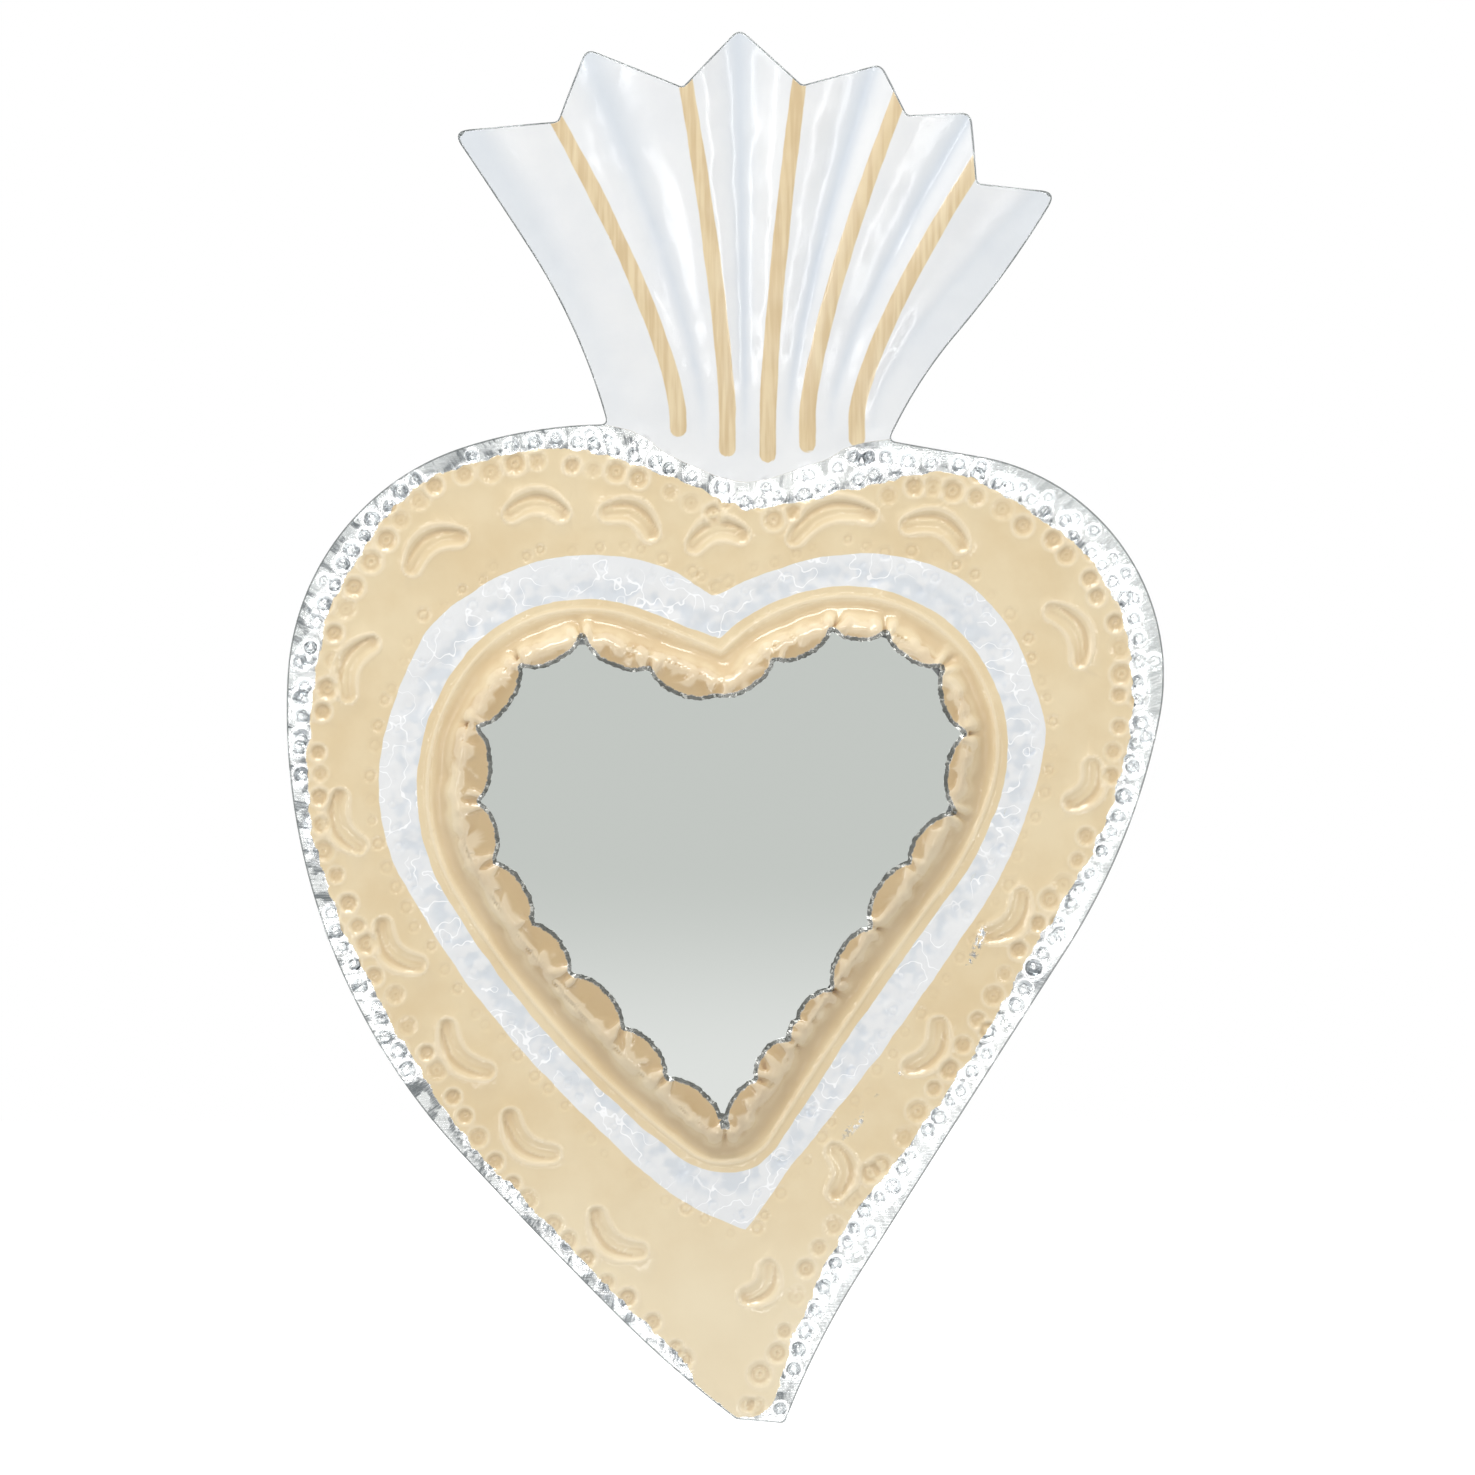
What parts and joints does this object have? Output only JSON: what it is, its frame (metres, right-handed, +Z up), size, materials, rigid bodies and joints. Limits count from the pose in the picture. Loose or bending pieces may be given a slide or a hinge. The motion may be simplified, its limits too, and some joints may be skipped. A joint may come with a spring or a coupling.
{
  "type": "mexican tin mirror",
  "caption": "Heart-shaped tin wall mirror with a fluted crown of flames, petal-edged mirror pocket, soldered back plate and a swinging wire hanging loop.",
  "frame": {"origin": "on the back plate's rear face, which is the face towards the wall, behind the middle of the mirror glass", "axes": "+X to the viewer's right, +Z up, +Y out of the back towards the wall; the front faces -Y"},
  "size_m": [0.1581, 0.0063, 0.2509],
  "materials": {
    "front_sheet": "glossy lacquer and enamel on tinplate",
    "mirror_glass": "silvered, polished",
    "backing_card": "matt",
    "back_plate": "bare tinplate",
    "plate_solder": "dull solder",
    "hanger_strap": "bare tinplate",
    "strap_solder": "dull solder",
    "hanging_loop": "drawn wire"
  },
  "bodies": {
    "frame": {"front_sheet": "front_sheet", "mirror_glass": "mirror_glass", "backing_card": "backing_card", "back_plate": "back_plate", "plate_solder": "plate_solder", "hanger_strap": "hanger_strap", "strap_solder": "strap_solder"},
    "loop": {"hanging_loop": "hanging_loop"}
  },
  "joints": [
    {"name": "loop_swing", "type": "hinge", "parent": "frame", "child": "loop", "pos_m": [0, 0.00083, 0.08158], "axis": [1, 0, 0], "range_deg": [0, 180]}
  ]
}
